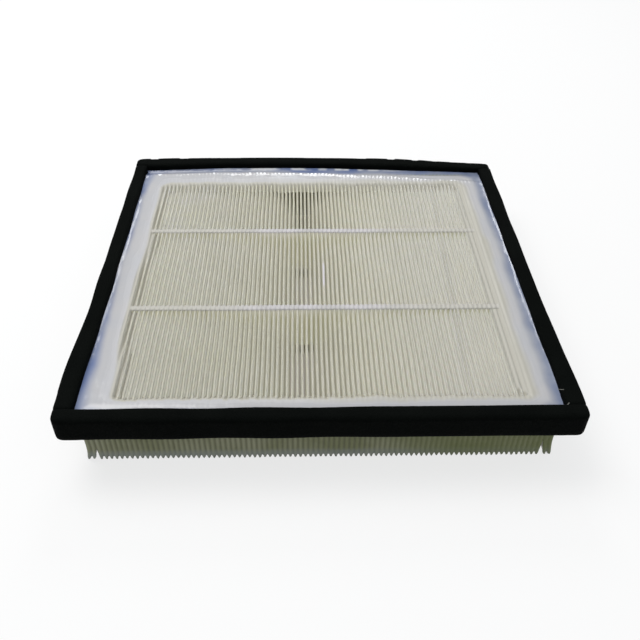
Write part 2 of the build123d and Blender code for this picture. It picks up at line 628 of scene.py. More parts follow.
@dataclass(frozen=True)
class PaperFinish(Finish):
    """Cream filter paper with matted fibres, paler zones, a painted glint, and painted light in its gaps
    for light that soaks through.
    """

    name: str = "filter_paper"
    cream: Colour = srgb(199, 196, 180)
    olive: Colour = srgb(189, 187, 163)
    olive_share: float = 0.55
    pale: Colour = srgb(196, 193, 184)
    fibre_share: float = 0.25
    stripe_share: float = 0.85
    stripe_reach: Pair = (0.0085, 0.0035)
    right_zone: Pair = (0.02, 0.1)
    right_share: float = 0.55
    left_zone: Pair = (-0.05, -0.12)
    rear_zone: Pair = (0.0, 0.1)
    front_share: float = 0.3
    patch_scale: float = 26.0
    patch_edge: Pair = (0.4, 0.62)
    patch_gain: float = 1.3
    # Paler legs down in the gaps: painted light, for light that soaks through the paper
    leg: Colour = srgb(244, 243, 235)
    gap_light_top: Pair = (0.0485, 0.0468)
    gap_light_foot: Pair = (0.0015, 0.003)
    # A painted glow in the gaps and on the lower folds, for light that soaks through the paper
    soaked: Colour = srgb(222, 219, 202)
    soaked_light: float = 0.066
    side_zone: Pair = (0.025, 0.1)
    side_loss: float = 0.02
    fold_floor: Colour = srgb(206, 200, 204)
    floor_light: float = 0.2
    floor_foot: Pair = (0.001, 0.0013)
    floor_top: Pair = (0.0036, 0.0026)
    # Middle and half width along Y of the bands where the painted glow of the lower folds is left out, as
    # painted shade
    dark_bands: tuple[Pair, ...] = ((-0.0475, 0.0045), (0.0525, 0.0045), (0.134, 0.016))
    band_edge: float = 0.004
    # A short pale line along one fold: a painted glint
    fold_glint_tint: Colour = srgb(222, 217, 223)
    fold_glint_x: float = 0.0057
    fold_glint_y: float = -0.0095
    fold_glint_across: Pair = (0.0026, 0.0017)
    fold_glint_along: Pair = (0.0195, 0.0105)
    fold_glint_top: Pair = (0.045, 0.0475)
    roughness: Pair = (0.76, 0.88)
    light_colour: tuple[float, float, float] = (1.0, 0.97, 0.86)
    light_reach: float = 0.002

    def fill(self, kit: NodeKit, shader: bpy.types.Node) -> None:
        """Adds fibres, mottling, the pale zones, a painted glint, and painted light in the gaps: paler legs
        and a glow.

        Args:
            kit: Node helper of the material.
            shader: The Principled node.
        """
        place = kit.place()
        mottle = self.group(kit, EffectGroups.mottle(), place.whole, Cloud_Scale=14.0, Grain_Scale=700.0)
        fibre = self.group(kit, EffectGroups.fibres(), place.whole, Scale=1400.0).outputs["Fibre"]
        colour = kit.mix(kit.times(mottle.outputs["Cloud"], self.olive_share), self.cream, self.olive)
        colour = kit.mix(self.pale_mask(kit, place), colour, self.pale)
        colour = kit.mix(kit.times(fibre, self.fibre_share), colour, self.pale)
        # Painted light: the legs down in the gaps are paler
        inside = kit.times(kit.fade(place.z, *self.gap_light_top), kit.fade(place.z, *self.gap_light_foot))
        colour = kit.mix(inside, colour, self.leg)
        # Painted glint along one fold
        colour = kit.mix(self.fold_glint_mask(kit, place), colour, self.fold_glint_tint)
        kit.feed(shader.inputs["Base Color"], colour)
        floor = self.floor_mask(kit, place)
        aside = kit.fade(kit.off(place.x, 0.0), *self.side_zone)
        soaked = kit.times(inside, kit.math("MULTIPLY_ADD", aside, -self.side_loss, self.soaked_light))
        light = kit.math("MULTIPLY_ADD", floor, self.floor_light, soaked)
        self.glow(kit, shader, light, kit.mix(floor, self.soaked, self.fold_floor))
        self.rough(kit, shader, fibre, *self.roughness)
        shader.inputs["Specular IOR Level"].default_value = 0.25
        shader.inputs["Subsurface Weight"].default_value = 1.0
        shader.inputs["Subsurface Radius"].default_value = self.light_colour
        shader.inputs["Subsurface Scale"].default_value = self.light_reach
        self.relief(kit, shader, fibre, distance=0.0001, strength=0.5)

    def pale_mask(self, kit: NodeKit, place: Place) -> bpy.types.NodeSocket:
        """Mask of the paler paper: the merged stripe, the right side and patches on both sides.

        Args:
            kit: Node helper of the material.
            place: Coordinates.

        Returns:
            The mask.
        """
        middle = kit.math("MULTIPLY_ADD", place.y, STRIPE_LEAN, STRIPE_X * MM)
        stripe = kit.fade(kit.off(place.x, middle), *self.stripe_reach)
        right = kit.times(kit.fade(place.x, *self.right_zone), self.right_share)
        rear = kit.fade(place.y, *self.rear_zone)
        rear = kit.math("MULTIPLY_ADD", rear, 1 - self.front_share, self.front_share)
        left = kit.times(kit.fade(place.x, *self.left_zone), rear)
        patches = kit.fade(kit.noise(place.whole, self.patch_scale, detail=2.0), *self.patch_edge)
        patches = kit.times(patches, kit.math("MAXIMUM", left, right), self.patch_gain)
        sides = kit.math("MAXIMUM", patches, right)
        return kit.math("MAXIMUM", kit.times(stripe, self.stripe_share), sides)

    def floor_mask(self, kit: NodeKit, place: Place) -> bpy.types.NodeSocket:
        """Mask of the painted light on the inner side of the lower folds, with painted shade under the
        beads and at the rear.

        Args:
            kit: Node helper of the material.
            place: Coordinates.

        Returns:
            The mask.
        """
        floor = kit.times(kit.fade(place.z, *self.floor_foot), kit.fade(place.z, *self.floor_top))
        for middle, half in self.dark_bands:
            floor = kit.times(floor, kit.fade(kit.off(place.y, middle), half, half + self.band_edge))
        return floor

    def fold_glint_mask(self, kit: NodeKit, place: Place) -> bpy.types.NodeSocket:
        """Mask of a short painted glint along one fold.

        Args:
            kit: Node helper of the material.
            place: Coordinates.

        Returns:
            The mask.
        """
        across = kit.fade(kit.off(place.x, self.fold_glint_x), *self.fold_glint_across)
        along = kit.fade(kit.off(place.y, self.fold_glint_y), *self.fold_glint_along)
        return kit.times(across, along, kit.fade(place.z, *self.fold_glint_top))


@dataclass(frozen=True)
class BeadFinish(Finish):
    """Lavender-white hot melt of the spacer beads, creamier to the sides."""

    name: str = "spacer_bead_melt"
    milk: Colour = srgb(206, 202, 205)
    haze: Colour = srgb(194, 191, 190)
    creamy: Colour = srgb(194, 191, 180)
    creamy_share: float = 0.8
    side_zone: Pair = (0.03, 0.09)
    # A painted glow on the blades down in the gaps, for light that soaks through the paper
    deep: Colour = srgb(204, 203, 158)
    deep_light: float = 0.24
    deep_top: Pair = (0.0489, 0.0476)
    deep_foot: Pair = (0.0012, 0.0025)
    roughness: Pair = (0.34, 0.54)

    def fill(self, kit: NodeKit, shader: bpy.types.Node) -> None:
        """Adds clouding, the creamier sides and the painted light in the gaps.

        Args:
            kit: Node helper of the material.
            shader: The Principled node.
        """
        place = kit.place()
        mottle = self.group(kit, EffectGroups.mottle(), place.whole, Cloud_Scale=60.0, Grain_Scale=650.0)
        colour = kit.mix(mottle.outputs["Cloud"], self.milk, self.haze)
        aside = kit.fade(kit.off(place.x, 0.0), *self.side_zone)
        colour = kit.mix(kit.times(aside, self.creamy_share), colour, self.creamy)
        kit.feed(shader.inputs["Base Color"], colour)
        deep = kit.times(kit.fade(place.z, *self.deep_top), kit.fade(place.z, *self.deep_foot))
        self.glow(kit, shader, kit.times(deep, self.deep_light), self.deep)
        self.rough(kit, shader, mottle.outputs["Grain"], *self.roughness)
        shader.inputs["IOR"].default_value = 1.48
        self.relief(kit, shader, mottle.outputs["Grain"], distance=0.0001, strength=0.35)


@dataclass(frozen=True)
class BorderFinish(Finish):
    """Milky glossy melt: painted blue-grey shade by the foam, white in the middle, cream by the pleats, and
    painted highlights.
    """

    name: str = "poured_melt"
    # Blue-grey by the foam walls: painted shade, the foam's shadow lit by a blue sky
    shade_by_foam: Colour = srgb(106, 124, 170)
    shade_by_right_foam: Colour = srgb(128, 138, 164)
    right_zone: Pair = (0.144, 0.158)
    right_shift: float = 0.12
    foam_reach: Pair = (-0.04, 0.42)
    middle: Colour = srgb(196, 195, 197)
    drift: float = 0.35
    cloudy: Colour = srgb(184, 187, 194)
    cloudy_share: float = 0.35
    by_pleats: Colour = srgb(190, 187, 176)
    cream_wide: Pair = (0.6, 0.95)
    cream_right: Pair = (-0.1, 0.1)
    cream_edge: Pair = (0.84, 0.99)
    # Painted highlights: glint dots along the rear ridge and broken lines by the rear foam, with a painted
    # glow
    glint: Colour = srgb(238, 240, 242)
    glint_light: float = 0.3
    glint_edge: Pair = (0.26, 0.52)
    wall_highlight_share: Pair = (0.1, 0.04)
    wall_highlight_rear: Pair = (0.15, 0.154)
    wall_highlight_middle: Pair = (0.1, 0.06)
    wall_highlight_breaks: Pair = (0.42, 0.55)
    wall_highlight_level: float = 0.9
    glossy: Pair = (0.1, 0.2)
    matt_zone: Pair = (0.5, 0.85)
    matt_gain: float = 0.28

    def fill(self, kit: NodeKit, shader: bpy.types.Node) -> None:
        """Colours the melt by its share of the way from foam to pleats.

        Args:
            kit: Node helper of the material.
            shader: The Principled node.
        """
        place = kit.place()
        mottle = self.group(kit, EffectGroups.mottle(), place.whole, Cloud_Scale=38.0, Grain_Scale=420.0)
        cloud = mottle.outputs["Cloud"]
        plain = kit.attribute("melt_share")
        drift = kit.noise(place.whole, scale=16.0, detail=2.0)
        share = kit.math("ADD", plain, kit.math("MULTIPLY_ADD", drift, 2 * self.drift, -self.drift))
        right = kit.fade(place.x, *self.right_zone)
        # Painted shade by the foam, blue-grey, fading toward the middle
        edge = kit.mix(right, self.shade_by_foam, self.shade_by_right_foam)
        from_foam = kit.math("SUBTRACT", share, kit.times(right, self.right_shift))
        colour = kit.mix(kit.fade(from_foam, *self.foam_reach), edge, self.middle)
        colour = kit.mix(kit.times(cloud, self.cloudy_share), colour, self.cloudy)
        wide = kit.times(kit.fade(share, *self.cream_wide), kit.fade(place.x, *self.cream_right))
        cream = kit.math("MAXIMUM", wide, kit.fade(plain, *self.cream_edge))
        colour = kit.mix(cream, colour, self.by_pleats)
        # Painted highlights, mixed into the colour
        dots = kit.fade(kit.attribute("melt_glint"), *self.glint_edge)
        colour = kit.mix(kit.math("MAXIMUM", self.wall_highlights(kit, place, plain), dots), colour, self.glint)
        kit.feed(shader.inputs["Base Color"], colour)
        self.glow(kit, shader, kit.times(dots, self.glint_light), self.glint)
        low, high = self.glossy
        rough = kit.math("MULTIPLY_ADD", cloud, high - low, low)
        rough = kit.math("MULTIPLY_ADD", kit.fade(share, *self.matt_zone), self.matt_gain, rough)
        kit.feed(shader.inputs["Roughness"], rough)
        shader.inputs["IOR"].default_value = 1.5
        self.relief(kit, shader, cloud, distance=0.0006, strength=0.35)

    def wall_highlights(self, kit: NodeKit, place: Place, plain: bpy.types.NodeSocket) -> bpy.types.NodeSocket:
        """Mask of the broken painted highlights along the rear foam.

        Args:
            kit: Node helper of the material.
            place: Coordinates.
            plain: Share of the way from foam to pleats.

        Returns:
            The mask.
        """
        by_wall = kit.times(kit.fade(plain, *self.wall_highlight_share), kit.fade(place.y, *self.wall_highlight_rear))
        in_middle = kit.fade(kit.off(place.x, 0.0), *self.wall_highlight_middle)
        breaks = kit.fade(kit.noise(place.whole, scale=70.0, detail=1.0), *self.wall_highlight_breaks)
        return kit.times(by_wall, in_middle, breaks, self.wall_highlight_level)


@dataclass(frozen=True)
class FilmFinish(Finish):
    """Thin cream film over the pleat ends, with painted shade in its grooves and on the right, and painted
    light in a bluer band along its foot.
    """

    name: str = "pleat_end_film"
    cream: Colour = srgb(190, 190, 158)
    olive: Colour = srgb(150, 153, 112)
    # Darker grooves between the ribs: painted shade
    groove_shade: Colour = srgb(104, 106, 78)
    groove_shade_share: float = 0.75
    # A paler, bluer band along the foot: painted light below the shade of the foam
    foot_light_band: Colour = srgb(174, 179, 174)
    foot_light_reach: Pair = (0.012, 0.005)
    foot_light_share: float = 0.7
    # Painted shade on the right side, tinted olive as a painted reflection
    shaded: Colour = srgb(116, 125, 68)
    shaded_zone: Pair = (0.02, 0.1)
    shaded_share: float = 0.65
    roughness: Pair = (0.5, 0.65)

    def fill(self, kit: NodeKit, shader: bpy.types.Node) -> None:
        """Adds mottling, painted shade in the grooves, a painted light band along the foot and the painted
        shade of the right side.

        Args:
            kit: Node helper of the material.
            shader: The Principled node.
        """
        place = kit.place()
        mottle = self.group(kit, EffectGroups.mottle(), place.whole, Cloud_Scale=24.0, Grain_Scale=500.0)
        in_groove = kit.math("SUBTRACT", 1.0, kit.attribute("rib_share"))
        colour = kit.mix(mottle.outputs["Cloud"], self.cream, self.olive)
        for mask, share, tint in (
            (in_groove, self.groove_shade_share, self.groove_shade),
            (kit.fade(place.z, *self.foot_light_reach), self.foot_light_share, self.foot_light_band),
            (kit.fade(place.x, *self.shaded_zone), self.shaded_share, self.shaded),
        ):
            colour = kit.mix(kit.times(mask, share), colour, tint)
        kit.feed(shader.inputs["Base Color"], colour)
        self.rough(kit, shader, mottle.outputs["Grain"], *self.roughness)
        self.relief(kit, shader, mottle.outputs["Grain"], distance=0.00012, strength=0.4)


@dataclass(frozen=True)
class FoamFinish(Finish):
    """Black closed-cell foam with fine pores, a faint greenish bloom and painted shade on its flanks."""

    name: str = "black_foam"
    black: Colour = srgb(4, 6, 5)
    bloom: Colour = srgb(11, 14, 12)
    bloom_share: float = 0.4
    # Darker flanks below the top face: painted shade
    flank: Colour = srgb(2, 4, 3)
    flank_shade_share: float = 0.75
    flank_shade_top: Pair = (0.0548, 0.053)
    cell_scale: float = 1300.0
    cell_wall: Pair = (0.15, 0.75)
    roughness: Pair = (0.84, 0.96)

    def fill(self, kit: NodeKit, shader: bpy.types.Node) -> None:
        """Adds the cells, the bloom and the painted shade on the flanks.

        Args:
            kit: Node helper of the material.
            shader: The Principled node.
        """
        place = kit.place()
        mottle = self.group(kit, EffectGroups.mottle(), place.whole, Cloud_Scale=30.0, Grain_Scale=1200.0)
        cells = kit.add("ShaderNodeTexVoronoi")
        kit.feed(cells.inputs["Vector"], place.whole)
        cells.inputs["Scale"].default_value = self.cell_scale
        wall = kit.fade(cells.outputs["Distance"], *self.cell_wall)
        shade = kit.times(kit.math("ADD", mottle.outputs["Cloud"], wall), self.bloom_share)
        colour = kit.mix(shade, self.black, self.bloom)
        flank = kit.times(kit.fade(place.z, *self.flank_shade_top), self.flank_shade_share)
        kit.feed(shader.inputs["Base Color"], kit.mix(flank, colour, self.flank))
        self.rough(kit, shader, mottle.outputs["Grain"], *self.roughness)
        shader.inputs["Specular IOR Level"].default_value = 0.05
        self.relief(kit, shader, wall, distance=0.0003, strength=0.6)


@dataclass(frozen=True)
class LintFinish(Finish):
    """Pale lint and loose fibres."""

    name: str = "pale_lint"
    pale: Colour = srgb(196, 196, 186)
    dull: Colour = srgb(150, 150, 140)

    def fill(self, kit: NodeKit, shader: bpy.types.Node) -> None:
        """Adds an uneven tint.

        Args:
            kit: Node helper of the material.
            shader: The Principled node.
        """
        place = kit.place()
        mottle = self.group(kit, EffectGroups.mottle(), place.whole, Cloud_Scale=300.0, Grain_Scale=2500.0)
        kit.feed(shader.inputs["Base Color"], kit.mix(mottle.outputs["Cloud"], self.pale, self.dull))
        shader.inputs["Roughness"].default_value = 0.9
        self.relief(kit, shader, mottle.outputs["Grain"], distance=0.00005, strength=0.3)


class FoldPoint(NamedTuple):
    """A point of the folded line: its place, its share of the upper wander and its fold's number."""

    x: float
    z: float
    upper: float
    fold: int


@dataclass
class PleatedPack:
    """The folded sheet: a flat grid that is folded to and fro, with soft wander."""

    sizes: PanelSizes
    stations: int = 26
    arc_points: int = 5
    splay_z: float = 13.8
    crease: float = 0.62
    wander: float = 0.32
    own_wander: float = 0.1
    held_edge: float = 16.0
    gather: float = 0.3
    gather_reach: float = 5.0
    sag: float = 0.12
    mean_sag: float = 0.14
    foot_sag: float = 0.8
    foot_offset: float = 300.0
    leg_places: tuple[float, ...] = (0.34, 0.73)
    leans: dict[int, float] = field(default_factory=lambda: {0: -1.4, 1: -1.9, -2: 2.5, -1: 1.4})

    def __post_init__(self) -> None:
        """Draws the wander of the pack and of each fold."""
        folds = range(self.sizes.pleat_count + 2)
        self.together = Ripple(seed=11, shortest=60, longest=240, height=self.wander)
        self.own_upper = [self.own_ripple(400 + fold) for fold in folds]
        self.own_lower = [self.own_ripple(800 + fold) for fold in folds]
        self.heights = Ripple(seed=31, shortest=25, longest=140, height=self.sag)

    def own_ripple(self, seed: int) -> Ripple:
        """Wander of one fold alone."""
        return Ripple(seed, shortest=70, longest=260, height=self.own_wander, waves=3)

    def fold_x(self, index: int, upper: bool) -> float:
        """Middle of a fold before it wanders."""
        x = self.sizes.pack_left_x + (index + (0.0 if upper else 0.5)) * self.sizes.pitch
        return x if upper else x + self.lean(index)

    def lean(self, index: int) -> float:
        """How far a lower fold leans outward at its foot."""
        from_right = index - self.sizes.pleat_count
        return self.leans.get(index, self.leans.get(from_right, 0.0))

    def arc(self, index: int, upper: bool) -> list[FoldPoint]:
        """Centre line over one fold.

        Args:
            index: Number of the fold from the left.
            upper: Whether it is an upper fold.

        Returns:
            The points from left to right.
        """
        sign = 1 if upper else -1
        edge = self.sizes.fold_top_z if upper else self.sizes.fold_bottom_z
        centre_z = edge - sign * (self.crease + self.sizes.sheet / 2)
        points = []
        for step in range(self.arc_points):
            angle = math.pi * (1 - step / (self.arc_points - 1))
            x = self.fold_x(index, upper) + self.crease * math.cos(angle)
            z = centre_z + sign * self.crease * math.sin(angle)
            points.append(FoldPoint(x, z, 1.0 if upper else 0.0, index))
        return points

    def legs(self, start: FoldPoint, end: FoldPoint, lean: float) -> list[FoldPoint]:
        """Points on the leg between two folds; one that leans bends at the splay height.

        Args:
            start: Last point of the fold before.
            end: First point of the fold after.
            lean: How far the leg's foot leans outward.

        Returns:
            The points between the two.
        """
        drops = start.z > end.z
        top, foot = (start, end) if drops else (end, start)
        places = self.leg_places
        if lean:
            bend = (top.z - self.splay_z) / (top.z - foot.z)
            places = (0.5 * bend, bend) if drops else (1 - bend, 1 - 0.5 * bend)
        points = []
        for share in places:
            down = share if drops else 1 - share
            x = top.x + (foot.x - lean - top.x) * down
            z = top.z + (foot.z - top.z) * down
            points.append(FoldPoint(x, z, start.upper + (end.upper - start.upper) * share, start.fold))
        return points

    def centre_line(self) -> list[FoldPoint]:
        """The whole folded line.

        Returns:
            Its points from the left top end to the right top end.
        """
        s = self.sizes
        last_x = s.pack_left_x + s.pleat_count * s.pitch - s.fold_radius
        last = FoldPoint(last_x, s.fold_top_z, 1.0, s.pleat_count)
        line = [FoldPoint(s.pack_left_x + s.fold_radius, s.fold_top_z, 1.0, 0)]
        for index in range(s.pleat_count):
            lean = self.lean(index)
            low = self.arc(index, False)
            high = [last] if index == s.pleat_count - 1 else self.arc(index + 1, True)
            line += self.legs(line[-1], low[0], lean)
            line += low
            line += self.legs(line[-1], high[0], lean)
            line += high
        return line

    def settled(self, point: FoldPoint, y: float) -> Vector:
        """Where a point of the line lies at one place along the folds.

        Args:
            point: Point of the folded line.
            y: Place along the folds.

        Returns:
            The place with its wander and sag.
        """
        x, z, share, index = point
        half = self.sizes.pack_half_width
        held = smooth(0, self.held_edge, min(x + half, half - x))
        upper = self.together.at(x, y) + self.own_upper[index].at(y)
        lower = self.together.at(x, y + self.foot_offset) + self.own_lower[index].at(y)
        stripe = STRIPE_X + STRIPE_LEAN * y
        upper -= self.gather * (x - stripe) * bump(stripe, self.gather_reach, x)
        sag = self.heights.at(x * 2, y) - self.mean_sag
        lift = share * min(0.0, sag) + (1 - share) * max(0.0, -sag * self.foot_sag)
        return Vector((x + held * (share * upper + (1 - share) * lower), y, z + lift))

    def build(self) -> None:
        """Folds the sheet and dresses it."""
        s = self.sizes
        line = self.centre_line()
        bm, table = sheet_grid(len(line), self.stations)
        for point, verts in zip(line, table):
            for row, vert in enumerate(verts):
                y = s.pack_front_y + (s.pack_rear_y - s.pack_front_y) * row / (self.stations - 1)
                vert.co = self.settled(point, y)
        piece = finish_mesh(bm, "pleated_sheet", smooth_angle=75)
        thicken(piece, "paper thickness", s.sheet)
        dress(piece, PaperFinish().material(), "media_paper", "pleated_media")


@dataclass
class SpacerBead:
    """One row of hot melt: a cord over the folds with a blade in each gap."""

    sizes: PanelSizes
    side: Side
    row_y: float
    name: str
    steps: int = 6
    ring: int = 10
    half_height: float = 0.55
    half_width: float = 3.1
    rise: float = 0.45
    gap_dip: float = 0.5
    gap_narrowing: float = 0.08
    blade_depth: float = 40.0
    crest_reach: Pair = (0.18, 0.7)
    height_swell: float = 0.12
    width_swell: float = 0.14
    end_steps: Pair = (-4.0, 12.0)
    end_drop: float = 0.7
    left_reach: float = 10.0
    right_reach: float = 6.0

    def ends(self) -> tuple[float, float]:
        """First and last place of the cord.

        Returns:
            The two places along X.
        """
        s = self.sizes
        if self.side is Side.UPPER:
            return (s.window_left_x - self.left_reach, s.window_right_x + self.right_reach)
        return (s.pack_left_x + s.pitch, -s.pack_left_x - s.pitch)

    def crest(self, x: float) -> float:
        """Nearness to a fold of the bead's own side."""
        over = self.sizes.crest(x)
        return over if self.side is Side.UPPER else 1 - over

    def tube(self, count: int) -> tuple[bmesh.types.BMesh, list[list[bmesh.types.BMVert]], list[Pair]]:
        """Extrudes a ring station by station, all still in one place.

        Args:
            count: How many times the ring is extruded.

        Returns:
            The bmesh, its rings, and the places of a ring's vertices on a unit circle.
        """
        bm = bmesh.new()
        made = bmesh.ops.create_circle(bm, segments=self.ring, radius=1.0, cap_ends=False)
        spots = [(v.co.x, v.co.y) for v in made["verts"]]
        rings = [list(made["verts"])]
        edges = list(bm.edges)
        for _ in range(count):
            grown = bmesh.ops.extrude_edge_only(bm, edges=edges)["geom"]
            fresh = {g for g in grown if isinstance(g, bmesh.types.BMVert)}
            edges = [g for g in grown if isinstance(g, bmesh.types.BMEdge) and fresh.issuperset(g.verts)]
            found = {tuple(round(c, 6) for c in v.co): v for v in fresh}
            rings.append([found[(round(a, 6), round(b, 6), 0.0)] for a, b in spots])
        return bm, rings, spots

    def build(self) -> None:
        """Shapes each station of the tube and dresses the row."""
        s = self.sizes
        sign = self.side.value
        edge = s.fold_top_z if self.side is Side.UPPER else s.fold_bottom_z
        start, end = self.ends()
        count = int((end - start) / (s.pitch / self.steps))
        drift = Ripple(seed=int(self.row_y) + 70 + sign, shortest=30, longest=130, height=0.35)
        swell = Ripple(seed=int(self.row_y) + 90 + sign, shortest=12, longest=60, height=0.28)
        bm, rings, spots = self.tube(count)
        for place, verts in enumerate(rings):
            x = start + (end - start) * place / count
            in_gap = 1 - smooth(*self.crest_reach, self.crest(x))
            full = smooth(*self.end_steps, min(place, count - place))
            top = self.rise - self.gap_dip * in_gap + self.height_swell * swell.at(x)
            top = edge + sign * (top - self.end_drop * (1 - full))
            reach_down = self.half_height if in_gap < 0.5 else self.blade_depth
            half_width = self.half_width * (1 + self.width_swell * swell.at(x, 9.0))
            half_width *= (1 - self.gap_narrowing * in_gap) * full
            for vert, (across, up) in zip(verts, spots):
                drop = self.half_height - up * (self.half_height if up > 0 else reach_down)
                vert.co = Vector((x, self.row_y + drift.at(x) + across * half_width, top - sign * drop))
        bmesh.ops.holes_fill(bm, edges=[e for e in bm.edges if e.is_boundary], sides=0)
        piece = finish_mesh(bm, self.name + "_row", smooth_angle=80)
        dress(piece, BeadFinish().material(), "hot_melt", self.name)


@dataclass
class EndFilm:
    """Ribbed film over one end of the pack, toothed along its foot and split twice."""

    sizes: PanelSizes
    end: End
    name: str
    steps: int = 6
    rows: int = 13
    row_bias: float = 1.3
    rib: float = 0.75
    stand_off: float = 0.35
    stand_limits: Pair = (0.25, 1.2)
    wave: float = 0.35
    wave_zone: Pair = (0.0, 8.0)
    foot_draw: float = 0.25
    foot_reach: float = 6.0
    thickness: float = 0.3
    top_gap: float = 0.3
    tooth_tip_z: float = 1.0
    tooth_notch_z: float = 3.5
    tooth_flank: Pair = (0.1, 0.9)
    tooth_spread: Pair = (-0.25, 0.45)
    split_width: float = 1.6
    split_surroundings: float = 5.0
    split_heights: Pair = (12.0, 16.5)
    split_leans: Pair = (1.7, 2.3)
    lean_bend: float = 1.5

    def build(self) -> None:
        """Shapes a grid into ribs, cuts the splits and dresses the film."""
        s = self.sizes
        sign = self.end.value
        end_y = s.pack_front_y if self.end is End.FRONT else s.pack_rear_y
        columns = s.pleat_count * self.steps + 1
        bm, table = sheet_grid(columns, self.rows, "rib_share")
        rib_layer = bm.verts.layers.float["rib_share"]
        ripple = Ripple(seed=210 + sign, shortest=20, longest=120, height=0.22)
        tooth = random.Random(77 + sign)
        tips = [tooth.uniform(*self.tooth_spread) for _ in range(s.pleat_count + 1)]
        nearest, farthest = self.stand_limits
        for column, verts in enumerate(table):
            x = -s.pack_half_width + 2 * s.pack_half_width * column / (columns - 1)
            over = 1 - s.crest(x)
            index = min(s.pleat_count - 1, max(0, int((x - s.pack_left_x) / s.pitch)))
            foot = self.tooth_notch_z
            foot += (self.tooth_tip_z - self.tooth_notch_z) * smooth(*self.tooth_flank, over)
            foot += tips[index] * over
            for row, vert in enumerate(verts):
                share = (row / (self.rows - 1)) ** self.row_bias
                z = foot + (s.fold_top_z - self.top_gap - foot) * share
                out = self.stand_off + self.rib * smooth(0, 1, over)
                out += self.wave * ripple.at(x, z * 2) * smooth(*self.wave_zone, z)
                out -= self.foot_draw * bump(0.0, self.foot_reach, z)
                vert.co = Vector((x, end_y + sign * min(farthest, max(nearest, out)), z))
                vert[rib_layer] = over
        for side, height, lean in zip((-1, 1), self.split_heights, self.split_leans):
            self.cut_split(bm, side, height, lean)
        piece = finish_mesh(bm, self.name + "_film", smooth_angle=75)
        thicken(piece, "film thickness", self.thickness)
        dress(piece, FilmFinish().material(), "end_film", self.name)

    def cut_split(self, bm: bmesh.types.BMesh, side: int, height: float, lean: float) -> None:
        """Cuts a wedge beside the outermost two pleats of one side, which lean out from it.

        Args:
            bm: The film.
            side: -1 on the left and 1 on the right.
            height: Height of the wedge over the folds' foot.
            lean: How far the film's foot moves outward.
        """
        s = self.sizes
        middle = side * (-s.pack_left_x - 2 * s.pitch)
        apex = Vector((middle, 0, s.fold_bottom_z + height))
        for flank in (-1, 1):
            slope = Vector((flank * self.split_width / 2, 0, -height))
            normal = slope.cross(Vector((0, 1, 0))).normalized()
            reach = self.split_surroundings
            near = [f for f in bm.faces if abs(f.calc_center_median().x - middle) < reach]
            geom = list(dict.fromkeys(g for f in near for g in (f, *f.edges, *f.verts)))
            bmesh.ops.bisect_plane(bm, geom=geom, plane_co=apex, plane_no=normal, dist=1e-5)
        inside = []
        for face in bm.faces:
            centre = face.calc_center_median()
            if abs(centre.x - middle) < self.split_width / 2 * (apex.z - centre.z) / height:
                inside.append(face)
        bmesh.ops.delete(bm, geom=inside, context="FACES")
        for vert in bm.verts:
            if (vert.co.x - middle) * side > 0 and vert.co.z < apex.z:
                vert.co.x += side * lean * ((apex.z - vert.co.z) / height) ** self.lean_bend


